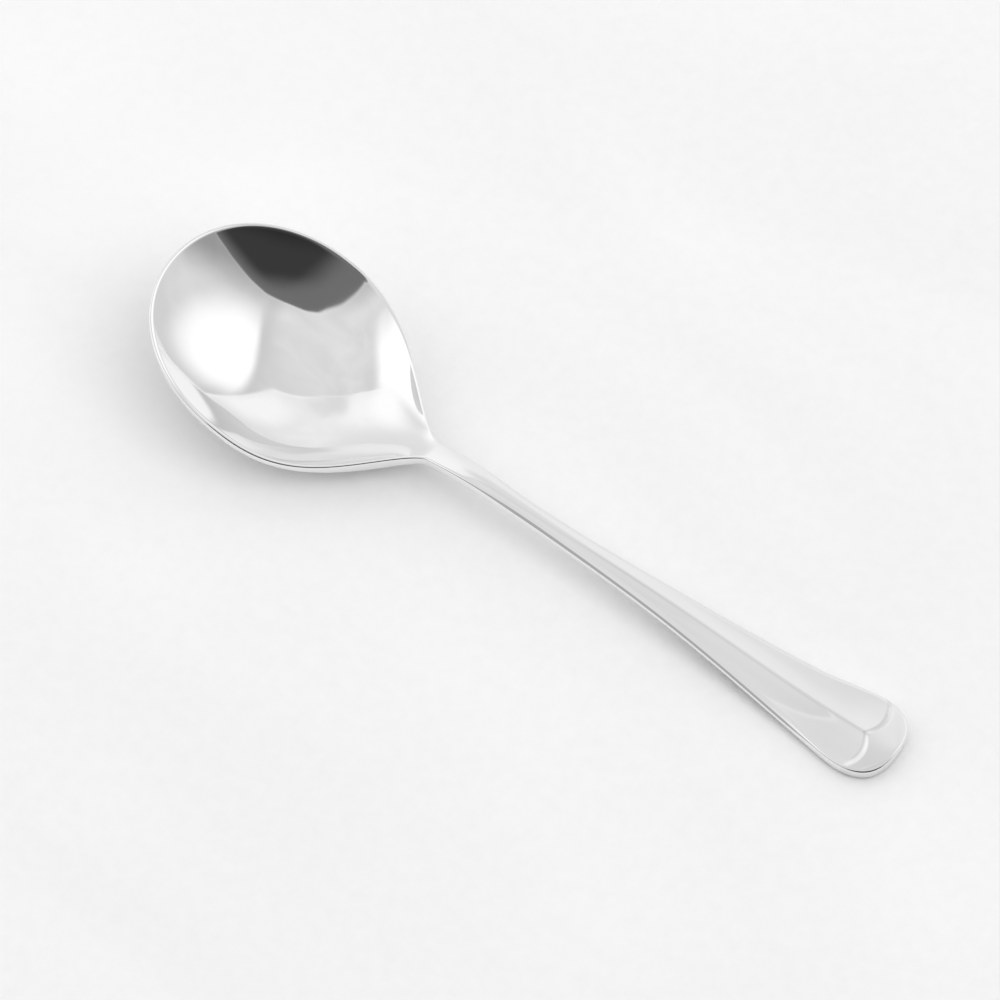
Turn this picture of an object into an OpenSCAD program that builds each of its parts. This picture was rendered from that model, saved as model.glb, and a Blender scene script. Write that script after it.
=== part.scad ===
// Soup spoon pressed from one piece of sheet metal and polished.
// It lies on the table with the bowl towards -X and the handle end towards +X.
// All lengths are in millimetres, heights are above the table.

/* [Overall] */
// length from the bowl tip to the handle end
spoon_len = 175; // [165:0.5:185]
// widest span of the bowl
bowl_w = 48.4; // [43:0.2:53]
// depth of the bowl below its rim
bowl_depth = 10.7; // [8.5:0.1:12]

/* [Bowl outline] */
// distance from the bowl tip to the widest place
widest_x = 27.4; // [25:0.2:31]
// distance from the bowl tip to the neck
neck_x = 64.6; // [62:0.2:68]
// distance from the bowl tip to the deepest place
deepest_x = 25.6; // [23:0.2:29]

/* [Handle outline] */
// width of the neck where it leaves the bowl
neck_w = 5.2; // [4.6:0.1:6]
// width of the narrowest place of the handle
waist_w = 4.8; // [4.2:0.1:5.4]
// distance from the neck to the place where the handle starts to widen
waist_gap = 17.4; // [14:0.2:21]
// width of the handle just before its rounded end
grip_w = 17.2; // [15:0.1:19]
// length of the rounded end of the handle
round_len = 13.2; // [11:0.2:18]

/* [Side line of the edge] */
// height of the rim at the bowl tip
tip_h = 22.1; // [19:0.1:24]
// height of the rim on the front of the bowl
front_h = 18.1; // [17:0.1:19.4]
// height of the rim at the widest place
middle_h = 13.8; // [12.8:0.1:14.8]
// height of the rim behind the deepest place
back_h = 8.9; // [8.4:0.1:9.8]
// height of the rim in the dip before the neck
dip_h = 8.1; // [7.8:0.1:8.8]
// height of the edge at the start of the neck
root_h = 8.9; // [8.5:0.1:9.6]
// height of the edge at the neck
neck_h = 9.5; // [9:0.1:10.2]
// height of the edge at the narrowest place
waist_h = 9.1; // [8.6:0.1:9.8]
// height of the edge in the front half of the handle
shank_h = 7.7; // [7.2:0.1:8.4]
// height of the edge in the back half of the handle
rear_h = 6.4; // [5.8:0.1:7]
// height of the edge where the handle is wide
grip_h = 4.4; // [3.9:0.1:5]
// height of the edge before the rounded end
heel_h = 2.7; // [2.4:0.1:3.2]
// height of the edge at the handle end
end_h = 2.9; // [2.6:0.1:3.8]

/* [Sheet] */
// thickness of the bowl wall
bowl_t = 1.3; // [0.9:0.05:1.6]
// thickness of the neck at its edge
neck_t = 2.5; // [1.8:0.05:2.8]
// thickness of the handle at its edge
grip_t = 2.5; // [2:0.05:2.8]
// width of the rounding along the bowl rim
rim_round = 0.5; // [0.3:0.05:0.7]
// width of the rounding along the edge of the handle
edge_round = 0.75; // [0.5:0.05:1]

/* [Ridge] */
// rise of the middle ridge above the edges of the handle
ridge_rise = 0.45; // [0.3:0.05:0.9]
// hollow of each sloping side of the handle
side_hollow = 0.16; // [0.05:0.01:0.3]
// distance of the raised thumb end from the handle end, at the ridge
thumb_len = 7.6; // [6.5:0.1:9]
// bulge of the two curved steps that bound the thumb end
thumb_bulge = 1.7; // [1:0.1:2.4]
// run of each curved step
step_run = 1.3; // [0.8:0.1:2]

/* [Hidden] */
// names of the pieces
// piece to build
// colour of the polished metal
steel_colour = [0.88, 0.88, 0.88];
// bend of the bowl outline at the tip, 2 is an ellipse
tip_bend = 2.08;
// bend of the bowl outline towards the neck
shoulder_bend = 2.39;
// sweep of the bowl outline into the neck
shoulder_sweep = 1.68;
// bend of the handle outline from the waist to the grip
handle_bend = 1.99;
// bend of the rounded end
end_bend = 2.5;
// bend of the bowl floor towards the neck
floor_bend = 2;
// sweep of the bowl floor into the neck
floor_sweep = 1.6;
// bend of the edge section, 2 is a round edge
edge_bend = 2.5;
// share of a ball taken by the bowl section
wall_share = 0.5;
// places of the side line heights, as shares of the bowl length and of the handle length
bowl_side_shares = [0, 0.23, 0.46, 0.69, 0.865, 1];
handle_side_shares = [0.065, 0.15, 0.32, 0.51, 0.68, 0.84, 1];
// heights of the side line at those places
side_hs = [tip_h, front_h, middle_h, back_h, dip_h, root_h, neck_h, waist_h,
    shank_h, rear_h, grip_h, heel_h, end_h];
// roundness of the ridge at the neck and on the handle
neck_blunt_share = 0.9;
ridge_blunt_share = 0.1;
// share of the handle length over which the waist takes over from the neck
waist_run_share = 0.11;
// share of the bowl length over which the sheet thickens before the neck
thicken_share = 0.38;
// share of the handle length over which the handle reaches its full thickness
grip_run_share = 0.48;
// share of the handle length over which the ridge rises
ridge_run_share = 0.19;
// share of the handle length by which the ridge starts before the neck
ridge_lead_share = 0.055;
// share of the handle length over which the ridge sharpens
sharp_run_share = 0.4;
// reach of the fans that fill the bowl tip and the handle end, as shares of the widths
tip_fan_share = 0.28;
end_fan_share = 0.3;
tip_fan = bowl_w * tip_fan_share;
end_fan = grip_w * end_fan_share;
// bend of the fans
fan_bend = 1.3;
// step for slopes as a share of the length
slope_share = 0.0005;
// rows of points along the bowl and along the handle
bowl_rows = 30;
handle_rows = 34;
// rings of points across the top and across the underside
top_rings = 10;
low_rings = 7;
// rings of points round the edge
edge_rings = 5;

handle_len = spoon_len - neck_x;
waist_x = neck_x + waist_gap;
round_x = spoon_len - round_len;
side_places = concat(bowl_side_shares * neck_x, [for (s = handle_side_shares) neck_x + s * handle_len]);
last = len(side_places) - 1;
rows = bowl_rows + handle_rows;
around = 2 * rows;

// smooth change from 0 to 1
function ease(u) = let (v = min(max(u, 0), 1)) v * v * (3 - 2 * v);
// number kept between 0 and 1
function unit(u) = min(max(u, 0), 1);

// curvature of the smooth line through the side heights
function gap(i) = side_places[i + 1] - side_places[i];
function rate(i) = (side_hs[i + 1] - side_hs[i]) / gap(i);
function sweep_down(i) = i < 1 ? [0, 0] :
    let (p = sweep_down(i - 1), m = 2 * (gap(i - 1) + gap(i)) - gap(i - 1) * p[0])
    [gap(i) / m, (6 * (rate(i) - rate(i - 1)) - gap(i - 1) * p[1]) / m];
function sweep_up(i) = i >= last ? 0 : let (s = sweep_down(i)) s[1] - s[0] * sweep_up(i + 1);
bends = [for (i = [0:last]) i < 1 ? 0 : sweep_up(i)];

// height of the edge at a distance from the bowl tip
function spot(x, i = 0) = i >= last - 1 || x < side_places[i + 1] ? i : spot(x, i + 1);
function edge_h(x) = let (i = spot(x), k = gap(i), a = side_places[i + 1] - x, b = x - side_places[i])
    (bends[i] * pow(a, 3) + bends[i + 1] * pow(b, 3)) / (6 * k)
    + (side_hs[i] / k - bends[i] * k / 6) * a
    + (side_hs[i + 1] / k - bends[i + 1] * k / 6) * b;

// half width of the outline at a distance from the bowl tip
function bowl_front(x) = bowl_w / 2 * pow(1 - pow(unit((widest_x - x) / widest_x), tip_bend), 1 / tip_bend);
function bowl_back(x) = neck_w / 2 + (bowl_w - neck_w) / 2
    * pow(1 - pow(unit((x - widest_x) / (neck_x - widest_x)), shoulder_bend), shoulder_sweep);
function handle_side(x) = waist_w / 2 + (grip_w - waist_w) / 2
    * pow(max((x - waist_x) / (round_x - waist_x), 0), handle_bend);
function handle_half(x) = let (k = ease((x - neck_x) / (waist_x + waist_run_share * handle_len - neck_x)))
    neck_w / 2 * (1 - k) + handle_side(x) * k;
function end_round(x) = pow(1 - pow(unit((x - round_x) / (spoon_len - round_x)), end_bend), 1 / end_bend);
function half_w(x) = (x < widest_x ? bowl_front(x) : x < neck_x ? bowl_back(x) : handle_half(x)) * end_round(x);

// share of the bowl depth along the middle line
function floor_share(x) = x < deepest_x ? 1 - pow(unit((deepest_x - x) / deepest_x), 2)
    : pow(1 - pow(unit((x - deepest_x) / (neck_x - deepest_x)), floor_bend), floor_sweep);
// share of the bowl depth with its section
function bowl_share(f) = (sqrt(1 - wall_share * (1 - f)) - sqrt(1 - wall_share)) / (1 - sqrt(1 - wall_share));
// share of the ridge rise across the handle
function ridge_share(t, k) = (sqrt(1 + k * k) - sqrt(t * t + k * k)) / (sqrt(1 + k * k) - k);
// start of the thumb end across the handle
function thumb_x(t) = spoon_len - thumb_len + thumb_bulge * 4 * t * (1 - t);

// height of the top face
function handle_rise(x, t) = let (
    k = neck_blunt_share + (ridge_blunt_share - neck_blunt_share)
        * ease((x - neck_x) / (sharp_run_share * handle_len)),
    on = ease((x - neck_x + ridge_lead_share * handle_len) / (ridge_run_share * handle_len)),
    grip = ease((x - waist_x) / (round_x - waist_x)),
    side = ridge_rise * ridge_share(t, k) - side_hollow * grip * 4 * t * (1 - t),
    thumb = ridge_rise * (1 - t * t),
    past = ease((x - thumb_x(t)) / step_run))
    on * (side * (1 - past) + thumb * past);
function top_h(x, y) = let (w = half_w(x), t = w > 0 ? unit(abs(y) / w) : 1)
    edge_h(x) - bowl_depth * bowl_share(floor_share(x) * (1 - t * t)) + handle_rise(x, t);

// upright thickness of the sheet at a place
function sheet_t(x) = bowl_t
    + (neck_t - bowl_t) * ease((x - neck_x + thicken_share * neck_x) / (thicken_share * neck_x))
    + (grip_t - neck_t) * ease((x - neck_x) / (grip_run_share * handle_len));
function slope_at(x, y) = let (s = slope_share * spoon_len)
    norm([top_h(x + s, y) - top_h(x, y), top_h(x, y + s) - top_h(x, y)]) / s;
function low_h(x, y) = let (h = top_h(x, y), g = min(slope_at(x, abs(y)), 1))
    min(h, edge_h(x)) - sheet_t(x) * sqrt(1 + g * g);

// distance of a row from the bowl tip
function row_x(i) = i < bowl_rows ? neck_x * (1 - cos(180 * i / bowl_rows)) / 2
    : neck_x + (spoon_len - neck_x) * (1 - cos(180 * (i - bowl_rows) / handle_rows)) / 2;
// place on the middle line that a row runs to
function fan(x, r) = x >= 2 * r ? x : x + r * pow(1 - x / (2 * r), fan_bend);
function foot_x(i) = let (x = row_x(i)) x < spoon_len / 2 ? fan(x, tip_fan)
    : spoon_len - fan(spoon_len - x, end_fan);
// outline point k of the ring, the near side first
function row_of(k) = k <= rows ? k : around - k;
function side_of(k) = k <= rows ? -1 : 1;
function outline(k) = let (i = row_of(k), x = row_x(i))
    [x, i == 0 || i == rows ? 0 : side_of(k) * half_w(x)];
// point k moved from the outline towards the middle line by a share of the way
function inward(k, s) = let (o = outline(k), f = [foot_x(row_of(k)), 0]) o + (f - o) * s;
// share of the way that a length takes
function share_of(k, d) = let (o = outline(k)) d / norm(o - [foot_x(row_of(k)), 0]);
// rounding of the edge at a distance from the bowl tip
function rounding(x) = rim_round + (edge_round - rim_round) * ease((x - widest_x) / (neck_x - widest_x));

// point k of edge ring j, from the top face round to the underside
function edge_point(k, j) = let (
    o = outline(k),
    a = 180 * j / edge_rings,
    d = rounding(o[0]),
    p = inward(k, share_of(k, d)),
    q = inward(k, share_of(k, d * (1 - pow(sin(a), 2 / edge_bend)))),
    up = top_h(p[0], p[1]),
    down = low_h(p[0], p[1]),
    c = cos(a))
    [q[0], q[1], (up + down) / 2 + (up - down) / 2 * sign(c) * pow(abs(c), 2 / edge_bend)];
// share of the way inward for ring j of n, beginning at the edge rounding
function ring_share(k, j, n) = let (s = share_of(k, rounding(outline(k)[0]))) s + (1 - s) * j / n;
function top_point(k, j) = let (p = inward(k, ring_share(k, j, top_rings))) [p[0], p[1], top_h(p[0], p[1])];
function low_point(k, j) = let (p = inward(k, ring_share(k, j, low_rings))) [p[0], p[1], low_h(p[0], p[1])];

edge_ring_points = [for (j = [0:edge_rings], k = [0:around - 1]) edge_point(k, j)];
top_ring_points = [for (j = [1:top_rings - 1], k = [0:around - 1]) top_point(k, j)];
low_ring_points = [for (j = [1:low_rings - 1], k = [0:around - 1]) low_point(k, j)];
top_spine = [for (i = [0:rows]) let (x = foot_x(i)) [x, 0, top_h(x, 0)]];
low_spine = [for (i = [0:rows]) let (x = foot_x(i)) [x, 0, low_h(x, 0)]];
spoon_points = concat(edge_ring_points, top_ring_points, low_ring_points, top_spine, low_spine);

// first point numbers of the rings
top_start = (edge_rings + 1) * around;
low_start = top_start + (top_rings - 1) * around;
top_spine_start = low_start + (low_rings - 1) * around;
low_spine_start = top_spine_start + rows + 1;
lowest = min([for (p = spoon_points) p[2]]);

// point number k of a ring
function on_edge(j, k) = j * around + k % around;
function on_top(j, k) = j < 1 ? on_edge(0, k)
    : j < top_rings ? top_start + (j - 1) * around + k % around
    : top_spine_start + row_of(k % around);
function on_low(j, k) = j < 1 ? on_edge(edge_rings, k)
    : j < low_rings ? low_start + (j - 1) * around + k % around
    : low_spine_start + row_of(k % around);

top_faces = [for (j = [0:top_rings - 1], k = [0:around - 1], half = [0:1])
    half < 1 ? [on_top(j, k), on_top(j + 1, k), on_top(j, k + 1)]
    : [on_top(j, k + 1), on_top(j + 1, k), on_top(j + 1, k + 1)]];
low_faces = [for (j = [0:low_rings - 1], k = [0:around - 1], half = [0:1])
    half < 1 ? [on_low(j, k), on_low(j, k + 1), on_low(j + 1, k)]
    : [on_low(j, k + 1), on_low(j + 1, k + 1), on_low(j + 1, k)]];
edge_faces = [for (j = [0:edge_rings - 1], k = [0:around - 1], half = [0:1])
    half < 1 ? [on_edge(j, k), on_edge(j, k + 1), on_edge(j + 1, k)]
    : [on_edge(j, k + 1), on_edge(j + 1, k + 1), on_edge(j + 1, k)]];

// the whole spoon, bowl, neck and handle in one sheet
module spoon() {
    color(steel_colour)
        translate([-spoon_len / 2, 0, -lowest])
            polyhedron(points = spoon_points, faces = concat(top_faces, low_faces, edge_faces), convexity = 6);
}

spoon();
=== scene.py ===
# Soup spoon on a white table inside a soft light tent
import math
import bpy
import numpy as np
from mathutils import Matrix, Vector


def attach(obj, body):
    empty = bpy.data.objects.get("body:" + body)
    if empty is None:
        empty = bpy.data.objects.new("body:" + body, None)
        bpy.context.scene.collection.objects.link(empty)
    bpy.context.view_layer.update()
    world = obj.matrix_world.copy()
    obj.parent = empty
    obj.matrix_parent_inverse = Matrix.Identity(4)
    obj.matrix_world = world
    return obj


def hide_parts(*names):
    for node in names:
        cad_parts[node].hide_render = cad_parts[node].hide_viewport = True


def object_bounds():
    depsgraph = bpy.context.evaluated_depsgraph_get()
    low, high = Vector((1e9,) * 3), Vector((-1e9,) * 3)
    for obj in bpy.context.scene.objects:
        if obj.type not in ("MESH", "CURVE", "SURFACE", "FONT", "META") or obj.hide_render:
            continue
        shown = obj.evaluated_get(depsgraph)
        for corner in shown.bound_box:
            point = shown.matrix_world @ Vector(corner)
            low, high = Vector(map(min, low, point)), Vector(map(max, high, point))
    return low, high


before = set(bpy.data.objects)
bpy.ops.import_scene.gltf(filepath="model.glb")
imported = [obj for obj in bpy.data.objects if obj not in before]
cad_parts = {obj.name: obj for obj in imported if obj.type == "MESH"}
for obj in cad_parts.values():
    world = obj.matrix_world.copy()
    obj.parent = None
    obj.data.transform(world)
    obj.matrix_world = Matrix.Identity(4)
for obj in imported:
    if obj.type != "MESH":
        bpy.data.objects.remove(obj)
cadLow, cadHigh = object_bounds()

mm = 0.001
scene = bpy.context.scene


# spoon shape, metres, x from the bowl tip
spoon = {
    "length": 175 * mm,
    "bowlWidth": 48.4 * mm,
    "bowlDepth": 10.7 * mm,
    "widestX": 27.4 * mm,
    "neckX": 64.6 * mm,
    "deepestX": 25.6 * mm,
    "neckWidth": 5.2 * mm,
    "waistWidth": 4.8 * mm,
    "waistX": 82 * mm,
    "gripWidth": 17.2 * mm,
    "roundX": 161.8 * mm,
    # powers that bend the outline: tip side, neck side and its fall, flare and end of the handle
    "tipBend": 2.08,
    "neckBend": 2.39,
    "neckFall": 1.68,
    "flare": 1.99,
    "endBend": 2.5,
    "waistRun": 0.11,  # share of the handle that the waist blends over
    # side line of the edge: places as shares of the bowl and of the handle, and heights
    "bowlPlaces": [0, 0.23, 0.46, 0.69, 0.865, 1],
    "handlePlaces": [0.065, 0.15, 0.32, 0.51, 0.68, 0.84, 1],
    "heights": [22.1, 18.1, 13.8, 8.9, 8.1, 8.9, 9.5, 9.1, 7.7, 6.4, 4.4, 2.7, 2.9],
    # bowl floor: power of its rise to the neck, steepness of a section,
    # points along it, points that the joint of its halves is smoothed over, easing at its ends
    "floorRise": 1.6,
    "sectionBend": 0.5,
    "floorPoints": 648,
    "floorSmooth": 50,
    "floorEase": 12 * mm,
    # sheet; thinning stops at a share of the bowl, the grip starts at a share of the handle
    "bowlThick": 1.3 * mm,
    "neckThick": 2.5 * mm,
    "gripThick": 2.5 * mm,
    "thinShare": 0.62,
    "gripShare": 0.48,
    # rounding of rim and edge, and the bevel ground along the sides of the handle
    "rimRound": 0.5 * mm,
    "edgeRound": 0.75 * mm,
    "edgeBend": 3.4,
    "bevelWidth": 1.3 * mm,
    "bevelBend": 1.5,
    "bevelRun": 0.2,
    "bevelPast": 5 * mm,
    "bevelFade": 14 * mm,
    # ridge of the handle, blunt at the neck and sharper behind, and raised thumb end
    "ridgeRise": 0.45 * mm,
    "ridgeBlunt": 0.9,
    "ridgeSharp": 0.1,
    "sharpRun": 0.4,
    "ridgeBefore": 0.055,
    "ridgeRun": 0.19,
    "sideHollow": 0.16 * mm,
    "thumbLength": 7.6 * mm,
    "thumbBulge": 1.7 * mm,
    "stepRun": 0.8 * mm,
    # mesh: how far its lines fan out at tip and end as shares of the widths, and their bend,
    # rows along bowl and handle, rings on top, below and round the edge
    "tipFan": 0.28,
    "endFan": 0.3,
    "fanBend": 1.3,
    "bowlRows": 120,
    "handleRows": 150,
    "topRings": 30,
    "lowRings": 16,
    "edgeRings": 10,
}
handleLength = spoon["length"] - spoon["neckX"]
sidePlaces = np.concatenate([
    np.array(spoon["bowlPlaces"]) * spoon["neckX"],
    spoon["neckX"] + np.array(spoon["handlePlaces"]) * handleLength,
])
sideHeights = np.array(spoon["heights"]) * mm


def unit(u):
    return np.clip(u, 0, 1)


def ease(u):
    v = unit(u)
    return v * v * (3 - 2 * v)


# second derivatives of the natural cubic spline through the points
def naturalBends(places, heights):
    n = len(places)
    gaps = np.diff(places)
    rates = np.diff(heights) / gaps
    m = np.eye(n)
    r = np.zeros(n)
    for i in range(1, n - 1):
        m[i, i - 1:i + 2] = [gaps[i - 1], 2 * (gaps[i - 1] + gaps[i]), gaps[i]]
        r[i] = 6 * (rates[i] - rates[i - 1])
    return np.linalg.solve(m, r)


sideBends = naturalBends(sidePlaces, sideHeights)


def edgeHeight(x):
    i = np.clip(np.searchsorted(sidePlaces, x, side="right") - 1, 0, len(sidePlaces) - 2)
    k = sidePlaces[i + 1] - sidePlaces[i]
    a = sidePlaces[i + 1] - x
    b = x - sidePlaces[i]
    return ((sideBends[i] * a ** 3 + sideBends[i + 1] * b ** 3) / (6 * k)
            + (sideHeights[i] / k - sideBends[i] * k / 6) * a
            + (sideHeights[i + 1] / k - sideBends[i + 1] * k / 6) * b)


# outline seen from above
def halfWidth(x):
    s = spoon
    tipWay = unit((s["widestX"] - x) / s["widestX"])
    front = s["bowlWidth"] / 2 * (1 - tipWay ** s["tipBend"]) ** (1 / s["tipBend"])
    neckWay = unit((x - s["widestX"]) / (s["neckX"] - s["widestX"]))
    back = s["neckWidth"] / 2 + (s["bowlWidth"] - s["neckWidth"]) / 2 * (
        1 - neckWay ** s["neckBend"]) ** s["neckFall"]
    side = s["waistWidth"] / 2 + (s["gripWidth"] - s["waistWidth"]) / 2 * np.maximum(
        (x - s["waistX"]) / (s["roundX"] - s["waistX"]), 0) ** s["flare"]
    k = ease((x - s["neckX"]) / (s["waistX"] + s["waistRun"] * handleLength - s["neckX"]))
    handle = s["neckWidth"] / 2 * (1 - k) + side * k
    endWay = unit((x - s["roundX"]) / (s["length"] - s["roundX"]))
    end = (1 - endWay ** s["endBend"]) ** (1 / s["endBend"])
    return np.where(x < s["widestX"], front, np.where(x < s["neckX"], back, handle)) * end


# depth of the bowl along its middle line
def makeFloor():
    s = spoon
    x = np.linspace(0, s["neckX"], s["floorPoints"])
    tipWay = unit((s["deepestX"] - x) / s["deepestX"])
    neckWay = unit((x - s["deepestX"]) / (s["neckX"] - s["deepestX"]))
    raw = np.where(x < s["deepestX"], 1 - tipWay ** 2, (1 - neckWay ** 2) ** s["floorRise"])
    reach = 3 * s["floorSmooth"]
    kernel = np.exp(-0.5 * (np.arange(-reach, reach + 1) / s["floorSmooth"]) ** 2)
    kernel /= kernel.sum()
    padded = np.pad(raw, reach, mode="reflect", reflect_type="odd")
    soft = np.convolve(padded, kernel, mode="valid")
    return x, raw + (soft - raw) * ease(np.minimum(x, s["neckX"] - x) / s["floorEase"])


floorX, floorLine = makeFloor()


def bowlShare(f):
    bend = spoon["sectionBend"]
    deep = math.sqrt(1 - bend)
    return (np.sqrt(1 - bend * (1 - f)) - deep) / (1 - deep)


# ridge, hollow sides and thumb end of the handle; t is 0 in the middle and 1 at the edge
def handleRise(x, t):
    s = spoon
    sharp = ease((x - s["neckX"]) / (s["sharpRun"] * handleLength))
    blunt = s["ridgeBlunt"] + (s["ridgeSharp"] - s["ridgeBlunt"]) * sharp
    top = np.sqrt(1 + blunt ** 2)
    ridge = (top - np.sqrt(t * t + blunt ** 2)) / (top - blunt)
    on = ease((x - s["neckX"] + s["ridgeBefore"] * handleLength) / (s["ridgeRun"] * handleLength))
    grip = ease((x - s["waistX"]) / (s["roundX"] - s["waistX"]))
    side = s["ridgeRise"] * ridge - s["sideHollow"] * grip * 4 * t * (1 - t)
    thumb = s["ridgeRise"] * (1 - t * t)
    thumbX = s["length"] - s["thumbLength"] + s["thumbBulge"] * 4 * t * (1 - t)
    past = ease((x - thumbX) / s["stepRun"])
    return on * (side * (1 - past) + thumb * past)


def topHeight(x, y):
    w = np.maximum(halfWidth(x), 1e-7)  # not zero at the two ends
    t = unit(np.abs(y) / w)
    hollow = bowlShare(np.interp(x, floorX, floorLine) * (1 - t * t))
    return edgeHeight(x) - spoon["bowlDepth"] * hollow + handleRise(x, t)


def sheetThick(x):
    s = spoon
    towardsNeck = ease((x - s["neckX"] * s["thinShare"]) / ((1 - s["thinShare"]) * s["neckX"]))
    towardsGrip = ease((x - s["neckX"]) / (s["gripShare"] * handleLength))
    return (s["bowlThick"] + (s["neckThick"] - s["bowlThick"]) * towardsNeck
            + (s["gripThick"] - s["neckThick"]) * towardsGrip)


# underside, one sheet thickness below, measured square to the slope
def lowHeight(x, y):
    step = 0.1 * mm
    h = topHeight(x, y)
    gx = (topHeight(x + step, y) - h) / step
    gy = (topHeight(x, np.abs(y) + step) - h) / step
    g = np.minimum(np.hypot(gx, gy), 1)
    return np.minimum(h, edgeHeight(x)) - sheetThick(x) * np.sqrt(1 + g * g)


# where the mesh line from the outline at x meets the middle line; the lines fan out at both ends
def footOf(x):
    s = spoon

    def fan(d, reach):
        near = d + reach * (1 - np.minimum(d / (2 * reach), 1)) ** s["fanBend"]
        return np.where(d >= 2 * reach, d, near)

    tip = fan(x, s["tipFan"] * s["bowlWidth"])
    end = s["length"] - fan(s["length"] - x, s["endFan"] * s["gripWidth"])
    return np.where(x < s["length"] / 2, tip, end)


# places from a to b, closer at both ends
def closerAtEnds(a, b, steps, count):
    return a + (b - a) * (1 - np.cos(np.pi * np.arange(count) / steps)) / 2


def buildSpoon():
    s = spoon
    rowX = np.concatenate([
        closerAtEnds(0, s["neckX"], s["bowlRows"], s["bowlRows"]),
        closerAtEnds(s["neckX"], s["length"], s["handleRows"], s["handleRows"] + 1),
    ])
    rows = len(rowX) - 1
    around = 2 * rows
    k = np.arange(around)
    row = np.where(k <= rows, k, around - k)
    x = rowX[row]
    w = halfWidth(x)
    w[(row == 0) | (row == rows)] = 0
    outline = np.stack([x, np.where(k <= rows, -w, w)], 1)
    foot = np.stack([footOf(x), 0 * x], 1)
    reach = np.linalg.norm(foot - outline, axis=1)
    rounding = s["rimRound"] + (s["edgeRound"] - s["rimRound"]) * ease(
        (x - s["widestX"]) / (s["neckX"] - s["widestX"]))
    bevel = ease((x - s["neckX"]) / (s["bevelRun"] * handleLength)) * ease(
        (s["roundX"] + s["bevelPast"] - x) / s["bevelFade"])
    rounding = rounding + (s["bevelWidth"] - s["edgeRound"]) * bevel
    power = 2 / (s["edgeBend"] + (s["bevelBend"] - s["edgeBend"]) * bevel)
    start = rounding / reach

    def inward(share):
        return outline + (foot - outline) * share[:, None]

    def surface(height, rings):
        out = []
        for j in range(1, rings):
            p = inward(start + (1 - start) * j / rings)
            out.append(np.column_stack([p, height(p[:, 0], p[:, 1])]))
        return out

    def spine(height):
        spineX = footOf(rowX)
        return np.column_stack([spineX, 0 * spineX, height(spineX, 0 * spineX)])

    # edge from the top side round to the underside
    edge = []
    p = inward(start)
    up, down = topHeight(p[:, 0], p[:, 1]), lowHeight(p[:, 0], p[:, 1])
    for j in range(s["edgeRings"] + 1):
        a = math.pi * j / s["edgeRings"]
        q = inward(rounding * (1 - math.sin(a) ** power) / reach)
        c = math.cos(a)
        z = (up + down) / 2 + (up - down) / 2 * math.copysign(1, c) * abs(c) ** power
        edge.append(np.column_stack([q, z]))
    top, low = surface(topHeight, s["topRings"]), surface(lowHeight, s["lowRings"])
    points = np.concatenate(edge + top + low + [spine(topHeight), spine(lowHeight)])

    # point numbers, ring by ring
    ring = [j * around + k for j in range(len(edge) + len(top) + len(low))]
    topSpine = len(ring) * around + row
    lowSpine = topSpine + rows + 1
    edgeLoops, rest = ring[:len(edge)], ring[len(edge):]
    topLoops = [edgeLoops[0]] + rest[:len(top)] + [topSpine]
    lowLoops = [edgeLoops[-1]] + rest[len(top):] + [lowSpine]
    faces = []

    def strip(a, b):
        a2, b2 = np.roll(a, -1), np.roll(b, -1)
        for quad in zip(a.tolist(), a2.tolist(), b2.tolist(), b.tolist()):
            face = list(dict.fromkeys(quad))  # a corner that comes twice counts once
            if len(face) > 2:
                faces.append(face)

    for a, b in zip(topLoops, topLoops[1:]):
        strip(a, b)
    for loops in (lowLoops, edgeLoops):
        for a, b in zip(loops, loops[1:]):
            strip(b, a)

    # into the shared frame, exactly filling the box of the solid
    low, high = points.min(0), points.max(0)
    boxLow, boxHigh = np.array(cadLow), np.array(cadHigh)
    points = boxLow + (points - low) / (high - low) * (boxHigh - boxLow)
    mesh = bpy.data.meshes.new("spoonMesh")
    mesh.from_pydata(points.tolist(), [], faces)
    mesh.validate()
    mesh.polygons.foreach_set("use_smooth", [True] * len(mesh.polygons))
    mesh.update()
    obj = bpy.data.objects.new("spoonBody", mesh)
    scene.collection.objects.link(obj)
    return obj


# node helpers
def addNode(tree, kind, inputs=None, **settings):
    node = tree.nodes.new(kind)
    for name, value in settings.items():
        setattr(node, name, value)
    for name, value in (inputs or {}).items():
        if isinstance(value, bpy.types.NodeSocket):
            tree.links.new(value, node.inputs[name])
        else:
            node.inputs[name].default_value = value
    return node


def mathNode(tree, operation, a, b=0.0):
    return addNode(tree, "ShaderNodeMath", {0: a, 1: b}, operation=operation).outputs[0]


def add(tree, a, b):
    return mathNode(tree, "ADD", a, b)


def subtract(tree, a, b):
    return mathNode(tree, "SUBTRACT", a, b)


def multiply(tree, a, b):
    return mathNode(tree, "MULTIPLY", a, b)


def dot(tree, a, b):
    node = addNode(tree, "ShaderNodeVectorMath", {0: a, 1: b}, operation="DOT_PRODUCT")
    return node.outputs["Value"]


def smoothStep(tree, value, low, high):
    inputs = {"Value": value, "From Min": low, "From Max": high}
    return addNode(tree, "ShaderNodeMapRange", inputs, interpolation_type="SMOOTHSTEP").outputs[0]


def mapRange(tree, value, low, high, toLow, toHigh):
    inputs = {"Value": value, "From Min": low, "From Max": high, "To Min": toLow, "To Max": toHigh}
    return addNode(tree, "ShaderNodeMapRange", inputs).outputs[0]


def noise(tree, place, **inputs):
    values = {name.capitalize(): value for name, value in inputs.items()}
    return addNode(tree, "ShaderNodeTexNoise", {"Vector": place, **values}).outputs[0]


def greyColor(tree, grey):
    inputs = {"Red": grey, "Green": grey, "Blue": grey}
    return addNode(tree, "ShaderNodeCombineColor", inputs).outputs[0]


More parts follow.
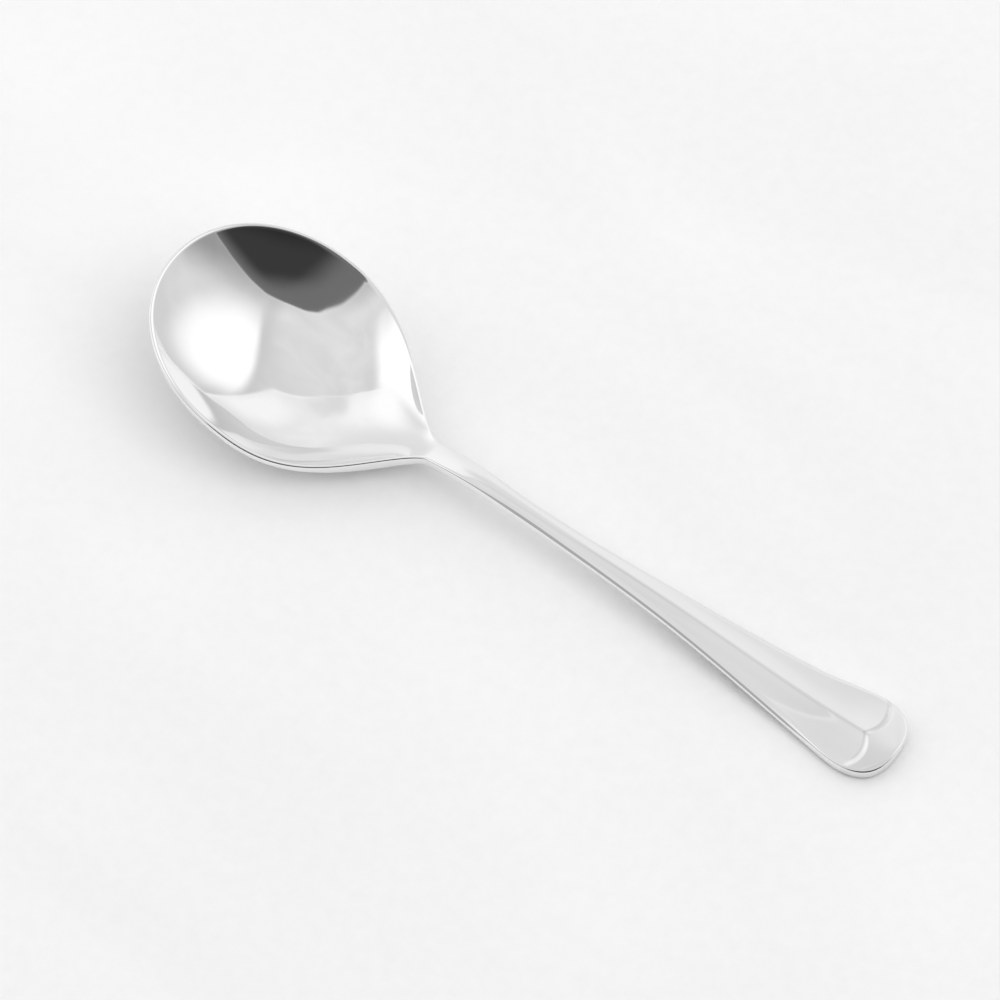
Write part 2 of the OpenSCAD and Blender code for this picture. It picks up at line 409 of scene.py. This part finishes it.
# polished steel with painted shade marks; pairs are from where to where a mark fades in or out
steel = {
    "grey": 0.88,
    "roughness": (0.03, 0.05),
    "cloudScale": 60.0,
    "rubScale": (120.0, 2600.0, 900.0),
    "rubRoughness": 0.02,
    "waveScale": 130.0,
    "waveStrength": 0.05,
    "waveHeight": 0.4 * mm,
    # painted dark line along the ridge, up to the thumb end, standing in for the darker reflection
    # of the crease
    "ridgePaintedShade": 0.085,
    "ridgeHalf": (0.6 * mm, 0.15 * mm),
    "ridgeStart": (5 * mm, 25 * mm),
    "ridgeEnd": (81.5 * mm, 79.5 * mm),
    # painted shade line in the foot of the thumb step
    "footPaintedShade": 0.12,
    "footX": 79.7 * mm,
    "footHalf": (0.55 * mm, 0.1 * mm),
    "footSide": (7.4 * mm, 5.5 * mm),
    # painted shade: darker far half of the step and darker near half of the thumb end, standing in
    # for darker reflections
    "stepX": 80.1 * mm,
    "farPaintedShade": 0.09,
    "farHalf": (0.9 * mm, 0.3 * mm),
    "farSide": (0.2 * mm, 1.5 * mm),
    "nearPaintedShade": 0.08,
    "nearStart": (-0.1 * mm, 0.8 * mm),
    "nearSide": (2 * mm, -5 * mm),
}


def makeSteel():
    material = bpy.data.materials.new("polishedSteel")
    material.use_nodes = True
    tree = material.node_tree
    shader = tree.nodes["Principled BSDF"]
    shader.inputs["Metallic"].default_value = 1.0
    place = addNode(tree, "ShaderNodeTexCoord").outputs["Object"]
    split = addNode(tree, "ShaderNodeSeparateXYZ", {"Vector": place}).outputs
    x, y = split["X"], split["Y"]
    aside = mathNode(tree, "ABSOLUTE", y)

    def mark(key, *fades):
        value = steel[key]
        for distance, name in fades:
            value = multiply(tree, smoothStep(tree, distance, *steel[name]), value)
        return value

    # bulge of the thumb step, as in handleRise
    t = mathNode(tree, "DIVIDE", aside, spoon["gripWidth"] / 2)
    bulge = multiply(tree, multiply(tree, t, subtract(tree, 1.0, t)), 4 * spoon["thumbBulge"])
    pastFoot = subtract(tree, subtract(tree, x, steel["footX"]), bulge)
    pastStep = subtract(tree, subtract(tree, x, steel["stepX"]), bulge)
    # painted shade: dark lines and patches taken off the steel's grey
    dark = mark("ridgePaintedShade", (aside, "ridgeHalf"), (x, "ridgeStart"), (x, "ridgeEnd"))
    # painted shade in the foot of the step, and painted darker far half of the step and near half
    # of the thumb end
    for extra in (
        mark("footPaintedShade", (mathNode(tree, "ABSOLUTE", pastFoot), "footHalf"), (aside, "footSide")),
        mark("farPaintedShade", (mathNode(tree, "ABSOLUTE", pastStep), "farHalf"), (y, "farSide")),
        mark("nearPaintedShade", (pastStep, "nearStart"), (y, "nearSide")),
    ):
        dark = add(tree, dark, extra)
    tint = greyColor(tree, subtract(tree, steel["grey"], dark))
    tree.links.new(tint, shader.inputs["Base Color"])
    # slow change of the polish and fine rubbing marks along the spoon
    cloud = noise(tree, place, scale=steel["cloudScale"], detail=4.0)
    along = addNode(tree, "ShaderNodeMapping", {"Vector": place, "Scale": steel["rubScale"]})
    rub = noise(tree, along.outputs[0], scale=1.0, detail=3.0)
    rough = add(tree, mapRange(tree, cloud, 0.3, 0.7, *steel["roughness"]),
                multiply(tree, rub, steel["rubRoughness"]))
    tree.links.new(rough, shader.inputs["Roughness"])
    wave = noise(tree, place, scale=steel["waveScale"], detail=1.0)
    bump = addNode(tree, "ShaderNodeBump", {
        "Height": wave, "Strength": steel["waveStrength"], "Distance": steel["waveHeight"]})
    tree.links.new(bump.outputs["Normal"], shader.inputs["Normal"])
    return material


body = buildSpoon()
body.data.materials.append(makeSteel())
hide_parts("spoon")
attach(body, "root")
print("spoon built:", len(body.data.vertices), "points")


# white paper on the table
table = {
    "size": 1.6,
    "below": 0.02 * mm,
    # painted light falloff: grey at the bowl side and at the handle side, the way between them and
    # its half length
    "grey": (0.88, 0.75),
    "fadeWay": (0.97, -0.24, 0),
    "fadeReach": 0.16,
    "foldTurn": -61,
    "foldScale": (7, 18, 1),
    "foldGrey": 0.11,
    "grainScale": 300.0,
    "grainGrey": 0.07,
    "grainStrength": 0.1,
    "grainHeight": 0.2 * mm,
    "roughness": 0.9,
    "specular": 0.1,
}


def makeTable():
    h = table["size"] / 2
    mesh = bpy.data.meshes.new("tableMesh")
    mesh.from_pydata([(-h, -h, 0), (h, -h, 0), (h, h, 0), (-h, h, 0)], [], [(0, 1, 2, 3)])
    obj = bpy.data.objects.new("table", mesh)
    obj.location = (0, 0, float(cadLow[2]) - table["below"])
    scene.collection.objects.link(obj)
    material = bpy.data.materials.new("whitePaper")
    material.use_nodes = True
    tree = material.node_tree
    shader = tree.nodes["Principled BSDF"]
    place = addNode(tree, "ShaderNodeTexCoord").outputs["Object"]
    turn = (0, 0, math.radians(table["foldTurn"]))
    drawn = addNode(tree, "ShaderNodeMapping", {
        "Vector": place, "Rotation": turn, "Scale": table["foldScale"]})
    fold = noise(tree, drawn.outputs[0], scale=1.0, detail=3.0, roughness=0.45, distortion=0.8)
    grain = noise(tree, place, scale=table["grainScale"], detail=5.0, roughness=0.7)
    tone = add(tree, multiply(tree, fold, table["foldGrey"]),
               multiply(tree, grain, table["grainGrey"]))
    # painted light falloff, paler at the bowl side and darker at the handle side
    across = dot(tree, place, table["fadeWay"])
    paintedLightFade = mapRange(tree, across, -table["fadeReach"], table["fadeReach"], *table["grey"])
    tree.links.new(greyColor(tree, add(tree, tone, paintedLightFade)), shader.inputs["Base Color"])
    shader.inputs["Roughness"].default_value = table["roughness"]
    shader.inputs["Specular IOR Level"].default_value = table["specular"]
    bump = addNode(tree, "ShaderNodeBump", {
        "Height": grain, "Strength": table["grainStrength"], "Distance": table["grainHeight"]})
    tree.links.new(bump.outputs["Normal"], shader.inputs["Normal"])
    obj.data.materials.append(material)


makeTable()
print("table built")


# light tent, painted on the world by direction; places are degrees from straight up,
# towards +X and +Y, and the last number of a shape is its softness
# a line has its inside on the left of the way through its points, which may turn left;
# an oval is its centre, radii and turn; a patch is its tone and the shapes that it is inside
tent = {
    "backdrop": 0.93,
    "foldScale": 0.06,
    "foldGrey": 0.05,
    # ceiling, darker at the back, beside the right glow and above the front
    "ceiling": 0.81,
    "ceilingBack": (0.755, ("line", [(-30, -16), (14, 36)], 16)),
    "besideGlow": (0.65, ("line", [(2, 60), (24, -30)], 10),
                   ("line", [(4, 60), (26, 0)], 8)),
    "aboveFront": (0.59, ("line", [(26, -10), (-4, -55)], 6)),
    "lowFront": (0.44, ("line", [(10, -58), (-60, -58)], 5)),
    # wall on the right, darker towards the front
    "wall": 0.77,
    "wallDark": (0.35, ("line", [(76, 26), (40, -4)], 14)),
    "wallEdge": ("line", [(24, 30), (34, -10)], 4),
    "wallFolds": 0.6,
    # cloth beyond the seam
    "beyond": 0.83,
    "beyondPale": (0.93, ("oval", (-24, 36), (38, 38), 0, 0.5)),
    "beyondRight": (1.04, ("oval", (6, 61), (8, 17), 0, 0.6)),
    "beyondLeft": (1.03, ("oval", (-37, 16), (21, 18), 30, 0.65)),
    "beyondDip": (0.82, ("oval", (-6, 31), (7, 6), 0, 0.7)),
    "seamDip": (0.795, ("oval", (-10, 20), (10, 8), -35, 0.7)),
    "beyondFolds": 0.5,
    "lowLeft": (0.83, ("oval", (-64, 48), (26, 22), 0, 0.8)),
    "darkLeft": (0.40, ("oval", (-92, 46), (20, 26), 0, 0.4)),
    "beyondEdge": ("line", [(-41, -6), (-22, 5), (-2, 23), (8, 41), (7, 82)], 0.8),
    # seam itself, a pale thread
    "seam": 0.98,
    "seamDull": (0.87, ("oval", (-7, 18), (9, 14), -45, 0.4)),
    "seamEdge": ("line", [(-42, -8), (-22, 3.6), (-1.2, 22), (9.4, 41), (8.6, 82)], 0.5),
    # far corner and the foot of the back wall
    "farCorner": (0.72, ("line", [(14, 86), (60, 54)], 4)),
    "backFoot": (0.50, ("line", [(-60, 87), (60, 91)], 1.5)),
    # two lamps behind the cloth
    "rightGlow": (1.15, ("oval", (28, 43), (20.5, 34), 12, 0.34),
                  ("line", [(10, 63), (15.5, 41), (31.5, 5)], 2)),
    "leftGlow": (1.18, ("line", [(-15, -36), (-42, 0)], 7), ("line", [(-26, -7), (-78, -8)], 6),
                 ("line", [(-34, -56), (-10, -30)], 14)),
    "leftGlowTop": (1.12, ("oval", (-50, 2), (14, 16), 0, 0.6)),
    # open front with a hem, dark room behind
    "hemPaler": 0.07,
    "hemEdge": ("line", [(66, -3.5), (45, -3.2), (35.5, -4.9), (24.4, -10.9), (17.3, -15.5),
                         (13.3, -20.6), (9.1, -34.7), (2, -58)], 0.4),
    "frontEdge": ("line", [(66, -4.5), (45, -4.2), (36, -5.8), (25, -11.7), (18, -16.3),
                           (14.2, -21), (10, -35), (3, -58)], 0.5),
    "room": 0.17,
    "roomDark": (0.045, ("line", [(70, -8), (42, -9), (23, -28), (13, -60)], 6)),
    "roomDeep": (0.015, ("line", [(70, -20), (26, -56)], 9)),
}


def makeTent():
    world = bpy.data.worlds.new("lightTent")
    scene.world = world
    world.use_nodes = True
    tree = world.node_tree
    tree.nodes.clear()
    way = addNode(tree, "ShaderNodeTexCoord").outputs["Generated"]
    split = addNode(tree, "ShaderNodeSeparateXYZ", {"Vector": way}).outputs
    x, y, z = split["X"], split["Y"], split["Z"]
    fromUp = multiply(tree, mathNode(tree, "ARCCOSINE", z), 180 / math.pi)
    flat = mathNode(tree, "SQRT", add(tree, multiply(tree, x, x), multiply(tree, y, y)))
    ratio = mathNode(tree, "DIVIDE", fromUp, mathNode(tree, "MAXIMUM", flat, 0.0001))
    spot = addNode(tree, "ShaderNodeCombineXYZ", {
        "X": multiply(tree, x, ratio), "Y": multiply(tree, y, ratio)}).outputs[0]

    def leftOf(a, b, soft):
        n = Vector((a[1] - b[1], b[0] - a[0], 0)).normalized()
        away = dot(tree, spot, n)
        c = n.x * a[0] + n.y * a[1]
        return smoothStep(tree, away, c - soft, c + soft)

    def both(masks):
        out = masks[0]
        for m in masks[1:]:
            out = multiply(tree, out, m)
        return out

    def line(points, soft):
        return both([leftOf(a, b, soft) for a, b in zip(points, points[1:])])

    def oval(centre, radii, turn, soft):
        inside = addNode(tree, "ShaderNodeMapping", {
            "Vector": spot, "Location": (*centre, 0), "Rotation": (0, 0, math.radians(turn)),
            "Scale": (*radii, 1)}, vector_type="TEXTURE").outputs[0]
        far = addNode(tree, "ShaderNodeVectorMath", {0: inside}, operation="LENGTH")
        return smoothStep(tree, far.outputs["Value"], 1 + soft, 1 - soft)

    def mask(kind, *values):
        return {"line": line, "oval": oval}[kind](*values)

    def paint(under, over, where):
        node = addNode(tree, "ShaderNodeMix", {0: where, 2: under, 3: over}, data_type="FLOAT")
        return node.outputs[0]

    # paints the named patches on a tone
    def patched(tone, *names):
        for name in names:
            over, *shapes = tent[name]
            tone = paint(tone, over, both([mask(*shape) for shape in shapes]))
        return tone

    folds = noise(tree, spot, scale=tent["foldScale"], detail=3.0, distortion=0.6)
    folds = mapRange(tree, folds, 0.3, 0.7, -tent["foldGrey"], tent["foldGrey"])
    tone = add(tree, folds, patched(tent["ceiling"], "ceilingBack"))
    tone = patched(tone, "besideGlow", "aboveFront", "lowFront")
    wall = add(tree, patched(tent["wall"], "wallDark"), multiply(tree, folds, tent["wallFolds"]))
    tone = paint(tone, wall, mask(*tent["wallEdge"]))
    beyond = patched(tent["beyond"], "beyondPale", "beyondRight", "beyondLeft",
                     "beyondDip", "seamDip")
    beyond = add(tree, beyond, multiply(tree, folds, tent["beyondFolds"]))
    beyond = patched(beyond, "lowLeft", "darkLeft")
    tone = paint(tone, patched(tent["seam"], "seamDull"), mask(*tent["seamEdge"]))
    tone = paint(tone, beyond, mask(*tent["beyondEdge"]))
    tone = patched(tone, "farCorner", "backFoot", "rightGlow", "leftGlow", "leftGlowTop")
    tone = paint(tone, add(tree, tone, tent["hemPaler"]), mask(*tent["hemEdge"]))
    tone = paint(tone, patched(tent["room"], "roomDark", "roomDeep"), mask(*tent["frontEdge"]))

    # the camera itself sees a plain pale backdrop
    seen = addNode(tree, "ShaderNodeLightPath").outputs["Is Camera Ray"]
    pale = (*[tent["backdrop"]] * 3, 1)
    color = addNode(tree, "ShaderNodeMix", {0: seen, 6: greyColor(tree, tone), 7: pale},
                    data_type="RGBA")
    glow = addNode(tree, "ShaderNodeBackground", {"Color": color.outputs[2], "Strength": 1.0})
    out = addNode(tree, "ShaderNodeOutputWorld")
    tree.links.new(glow.outputs[0], out.inputs["Surface"])


makeTent()
print("light tent painted")


# soft lamp over the table, not seen in the steel
softLight = {
    "place": (0.4, -0.06, 0.78),
    "size": 0.9,
    "power": 3.05,
}


def makeLamp():
    data = bpy.data.lights.new("topLamp", "AREA")
    data.size = softLight["size"]
    data.energy = softLight["power"]
    lamp = bpy.data.objects.new("topLamp", data)
    lamp.location = softLight["place"]
    lamp.rotation_euler = (-Vector(softLight["place"])).to_track_quat("-Z", "Y").to_euler()
    lamp.visible_glossy = False
    lamp.visible_camera = False
    scene.collection.objects.link(lamp)


makeLamp()
print("lamp hung")


# camera, degrees and metres; zoom is focal length over sensor width
view = {
    "azimuth": 31.45,
    "elevation": 59.36,
    "roll": 3.89,
    "distance": 1.2,
    "aim": (-8.7 * mm, 2.9 * mm, 0.0),
    "zoom": 6.0154,
    "sensor": 36,
    "clip": (0.05, 20),
}


def makeCamera():
    a, e, roll = (math.radians(view[key]) for key in ("azimuth", "elevation", "roll"))
    right = Vector((math.cos(a), math.sin(a), 0))
    ahead = Vector((-math.sin(a), math.cos(a), 0))
    back = -ahead * math.cos(e) + Vector((0, 0, 1)) * math.sin(e)
    up = back.cross(right)
    x = right * math.cos(roll) + up * math.sin(roll)
    y = up * math.cos(roll) - right * math.sin(roll)
    data = bpy.data.cameras.new("camera")
    data.sensor_width = view["sensor"]
    data.lens = view["sensor"] * view["zoom"]
    data.clip_start, data.clip_end = view["clip"]
    camera = bpy.data.objects.new("camera", data)
    turn = Matrix((x, y, back)).transposed()
    place = Vector(view["aim"]) + back * view["distance"]
    camera.matrix_world = Matrix.Translation(place) @ turn.to_4x4()
    scene.collection.objects.link(camera)
    scene.camera = camera


makeCamera()
scene.view_settings.view_transform = "Standard"
print("camera placed")
